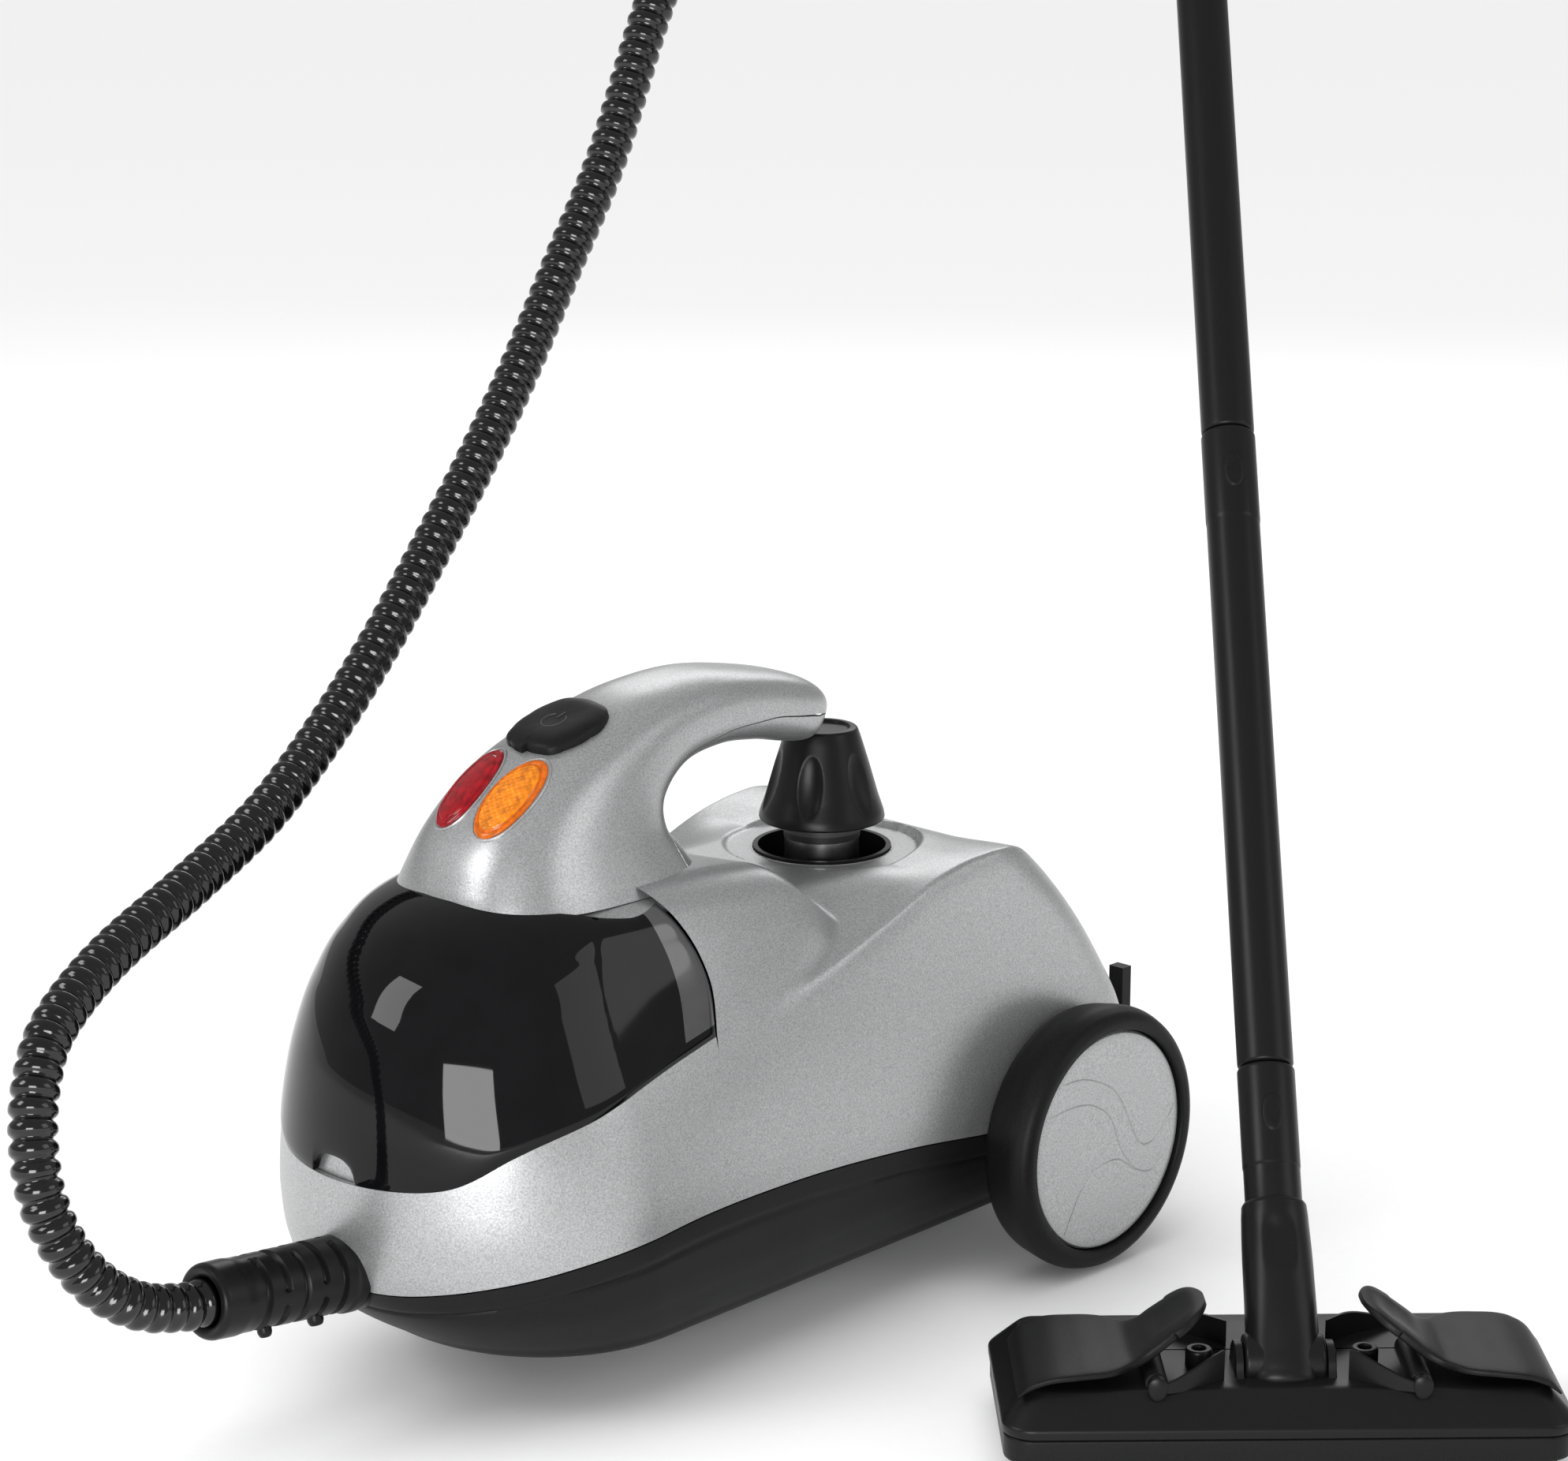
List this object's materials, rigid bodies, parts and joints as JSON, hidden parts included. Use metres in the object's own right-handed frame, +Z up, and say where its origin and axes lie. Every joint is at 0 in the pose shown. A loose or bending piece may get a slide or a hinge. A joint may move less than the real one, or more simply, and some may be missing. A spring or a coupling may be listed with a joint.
{
  "type": "steam cleaner",
  "caption": "Wheeled steam cleaner: silver and black canister with carry handle and filler cap, corrugated hose, steam gun, two wand tubes and a floor brush.",
  "frame": {"origin": "point on the floor under the middle of the rear axle, on the canister's centre plane", "axes": "+Z up, the nose of the canister points along -Y, +X to the side where the floor brush stands"},
  "size_m": [0.686, 0.8514, 0.6752],
  "materials": {
    "silver_paint": "metallic silver flake paint on ABS",
    "black_plastic": "finely textured moulded plastic",
    "gloss_black": "mirror gloss",
    "dark_grey": "plain moulded",
    "lens_red": "translucent",
    "lens_orange": "translucent, prismatic inside",
    "glass": "clear",
    "steel": "plain",
    "boiler_alloy": "spun",
    "brass": "machined",
    "copper": "drawn tube",
    "tyre": "soft moulded tread",
    "seal": "silicone",
    "light_plastic": "plain moulded",
    "bristle": "nylon filament",
    "hose_skin": "glossy corrugated sheath"
  },
  "bodies": {
    "canister": {"base_shell": "black_plastic", "upper_housing": "silver_paint", "handle_upper_shell": "silver_paint", "handle_lower_shell": "silver_paint", "visor_tray": "dark_grey", "lamp_red": "lens_red", "lamp_orange": "lens_orange", "lamp_bulbs": "glass", "power_switch": "dark_grey", "filler_cup": "black_plastic", "filler_neck": "steel", "boiler_upper": "boiler_alloy", "boiler_lower": "boiler_alloy", "heating_element": "copper", "thermostat": "light_plastic", "solenoid_valve": "brass", "steam_pipe": "copper", "hose_nipple": "brass", "hose_sleeve": "black_plastic", "terminal_block": "light_plastic", "rear_axle": "steel", "axle_clips": "steel", "caster_socket": "black_plastic", "housing_screws": "steel", "cord_gland": "black_plastic", "rear_hook": "black_plastic", "steam_hose": "hose_skin"},
    "wheel_left": {"tyre_left": "tyre", "wheel_disc_left": "silver_paint"},
    "wheel_right": {"tyre_right": "tyre", "wheel_disc_right": "silver_paint"},
    "caster_swivel_body": {"caster_fork": "black_plastic", "caster_axle": "steel"},
    "caster_wheel_body": {"caster_wheel": "dark_grey"},
    "cap_seal_body": {"cap_seal": "seal"},
    "filler_cap": {"cap_knob": "black_plastic", "cap_plug": "dark_grey", "cap_spring": "steel"},
    "power_button_body": {"power_button": "black_plastic"},
    "visor_cover": {"visor": "gloss_black"},
    "steam_gun": {"gun_shell_left": "black_plastic", "gun_shell_right": "black_plastic", "gun_switch": "dark_grey", "gun_nozzle": "black_plastic", "gun_gland": "black_plastic"},
    "trigger": {"gun_trigger": "seal"},
    "child_lock_body": {"child_lock": "dark_grey"},
    "upper_wand": {"upper_tube": "black_plastic"},
    "upper_button_body": {"upper_button": "black_plastic"},
    "lower_wand": {"lower_tube": "black_plastic"},
    "lower_button_body": {"lower_button": "black_plastic"},
    "brush_neck": {"neck_socket": "black_plastic"},
    "neck_button_body": {"neck_button": "black_plastic"},
    "floor_brush": {"neck_pin": "steel", "brush_cover": "black_plastic", "brush_rim": "black_plastic", "bristles": "bristle", "clamp_pins": "steel"},
    "cloth_clamp_left": {"clamp_left": "black_plastic"},
    "cloth_clamp_right": {"clamp_right": "black_plastic"}
  },
  "joints": [
    {"name": "wheel_left_spin", "type": "hinge", "parent": "canister", "child": "wheel_left", "pos_m": [0, 0, 0.06], "axis": [1, 0, 0], "continuous": true},
    {"name": "wheel_right_spin", "type": "hinge", "parent": "canister", "child": "wheel_right", "pos_m": [0, 0, 0.06], "axis": [1, 0, 0], "continuous": true},
    {"name": "caster_swivel", "type": "hinge", "parent": "canister", "child": "caster_swivel_body", "pos_m": [0, -0.172, 0.013], "axis": [0, 0, 1], "continuous": true},
    {"name": "caster_roll", "type": "hinge", "parent": "caster_swivel_body", "child": "caster_wheel_body", "pos_m": [0, -0.161, 0.013], "axis": [1, 0, 0], "continuous": true},
    {"name": "cap_lift", "type": "slide", "parent": "canister", "child": "cap_seal_body", "axis": [0, 0, 1], "range_m": [0, 0.006]},
    {"name": "cap_turn", "type": "hinge", "parent": "cap_seal_body", "child": "filler_cap", "pos_m": [0, -0.061, 0.2], "axis": [0, 0, 1], "range_deg": [0, 720]},
    {"name": "power_press", "type": "slide", "parent": "canister", "child": "power_button_body", "axis": [0, 0.515, -0.8572], "range_m": [0, 0.0025], "stiffness_N_per_m": 400, "springref_m": -0.002},
    {"name": "visor_release", "type": "slide", "parent": "canister", "child": "visor_cover", "axis": [0, -1, 0], "range_m": [0, 0.04]},
    {"name": "gun_lift", "type": "slide", "parent": "canister", "child": "steam_gun", "axis": [0, 0, 1], "range_m": [0, 0.12]},
    {"name": "trigger_pull", "type": "hinge", "parent": "steam_gun", "child": "trigger", "pos_m": [-0.05666, 0.24466, 0.64726], "axis": [-0.7071, -0.7071, 0], "range_deg": [0, 10], "stiffness_Nm_per_rad": 0.3, "springref_deg": -11.46},
    {"name": "child_lock_slide", "type": "slide", "parent": "steam_gun", "child": "child_lock_body", "axis": [-0.4255, 0.4255, 0.7986], "range_m": [0, 0.005]},
    {"name": "upper_tube_release", "type": "slide", "parent": "steam_gun", "child": "upper_wand", "axis": [0.4255, -0.4255, -0.7986], "range_m": [0, 0.05]},
    {"name": "upper_button_press", "type": "slide", "parent": "upper_wand", "child": "upper_button_body", "axis": [-0.5647, 0.5647, -0.6018], "range_m": [0, 0.0015], "stiffness_N_per_m": 300, "springref_m": -0.002},
    {"name": "lower_tube_release", "type": "slide", "parent": "upper_wand", "child": "lower_wand", "axis": [0.4255, -0.4255, -0.7986], "range_m": [0, 0.05]},
    {"name": "lower_button_press", "type": "slide", "parent": "lower_wand", "child": "lower_button_body", "axis": [-0.5647, 0.5647, -0.6018], "range_m": [0, 0.0015], "stiffness_N_per_m": 300, "springref_m": -0.002},
    {"name": "neck_release", "type": "slide", "parent": "lower_wand", "child": "brush_neck", "axis": [0.4255, -0.4255, -0.7986], "range_m": [0, 0.05]},
    {"name": "neck_button_press", "type": "slide", "parent": "brush_neck", "child": "neck_button_body", "axis": [-0.5647, 0.5647, -0.6018], "range_m": [0, 0.0015], "stiffness_N_per_m": 300, "springref_m": -0.002},
    {"name": "brush_tilt", "type": "hinge", "parent": "brush_neck", "child": "floor_brush", "pos_m": [0.29773, -0.10973, 0.042], "axis": [0.7071, 0.7071, 0], "range_deg": [-25, 30]},
    {"name": "clamp_left_open", "type": "hinge", "parent": "floor_brush", "child": "cloth_clamp_left", "pos_m": [0.25813, -0.14367, 0.0395], "axis": [-0.7071, 0.7071, 0], "range_deg": [0, 18], "stiffness_Nm_per_rad": 0.5, "springref_deg": -11.46},
    {"name": "clamp_right_open", "type": "hinge", "parent": "floor_brush", "child": "cloth_clamp_right", "pos_m": [0.33167, -0.07013, 0.0395], "axis": [0.7071, -0.7071, 0], "range_deg": [0, 18], "stiffness_Nm_per_rad": 0.5, "springref_deg": -11.46}
  ],
  "couplings": [
    {"joint": "cap_lift", "follows": "cap_turn", "m_per_rad": 0.00047746}
  ]
}
